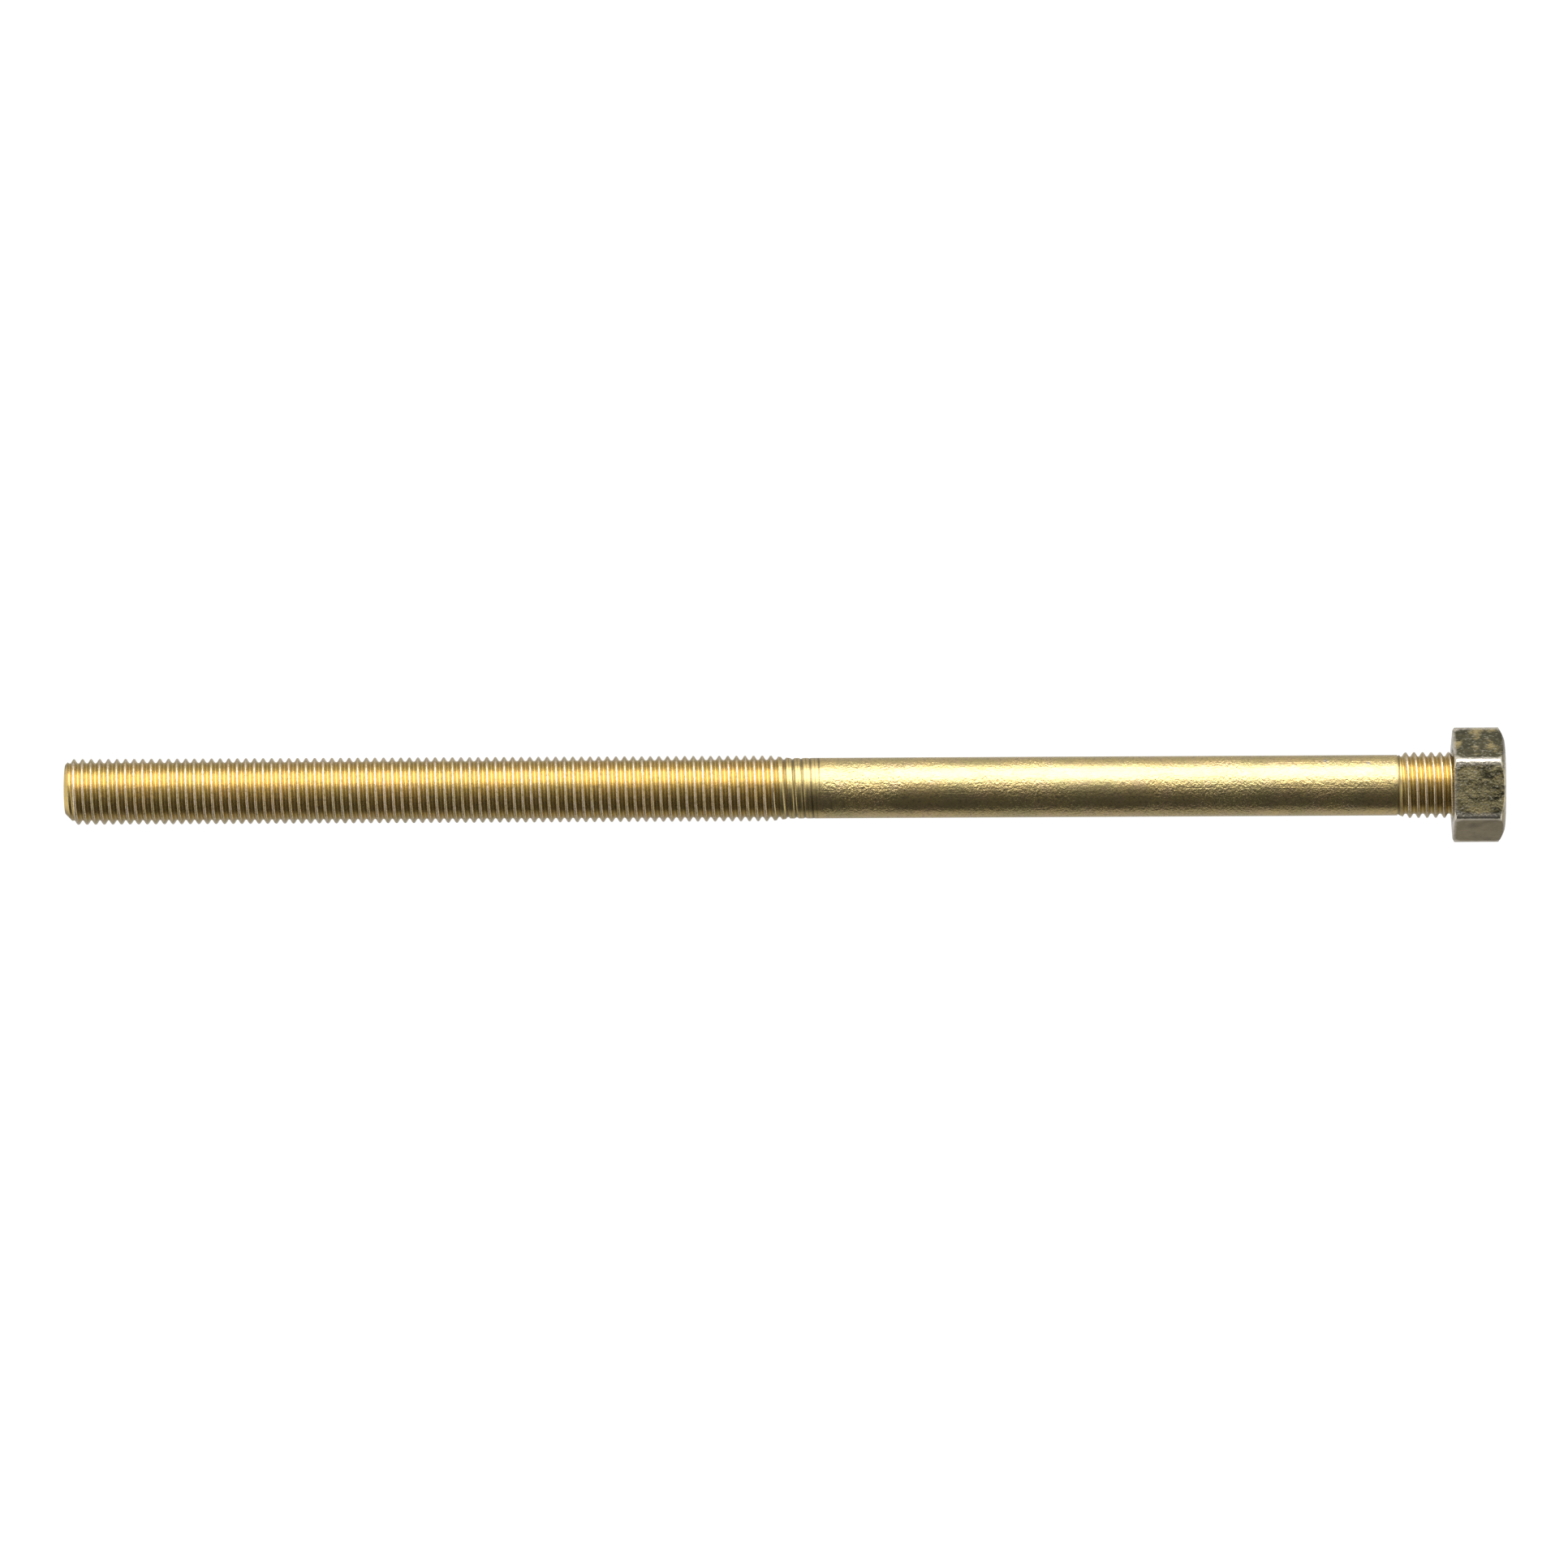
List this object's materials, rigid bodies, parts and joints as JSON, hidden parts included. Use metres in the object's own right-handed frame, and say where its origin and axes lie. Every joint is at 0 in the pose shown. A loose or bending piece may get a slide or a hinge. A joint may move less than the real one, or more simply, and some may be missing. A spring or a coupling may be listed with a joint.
{
  "type": "hex bolt",
  "caption": "Long stud with a plain shank between a long and a short rolled thread, and a hex nut run flush onto the short thread as its head.",
  "frame": {"origin": "centre of the stud's end face at the nut end, flush with the nut's outer face", "axes": "+X along the stud's axis out of the nut end, so the stud lies on the -X side; +Z is the normal of one of the nut's flats"},
  "size_m": [0.4175, 0.0334, 0.0292],
  "materials": {
    "stud_zinc": "bright yellow zinc chromate over steel",
    "nut_zinc": "dull olive yellow zinc chromate over steel"
  },
  "bodies": {
    "stud": {"double_end_stud": "stud_zinc"},
    "nut": {"hex_nut": "nut_zinc"}
  },
  "joints": [
    {"name": "nut_turn", "type": "hinge", "parent": "stud", "child": "nut", "pos_m": [-0.00745, 0, 0], "axis": [1, 0, 0], "range_deg": [-1880, 2140]}
  ]
}
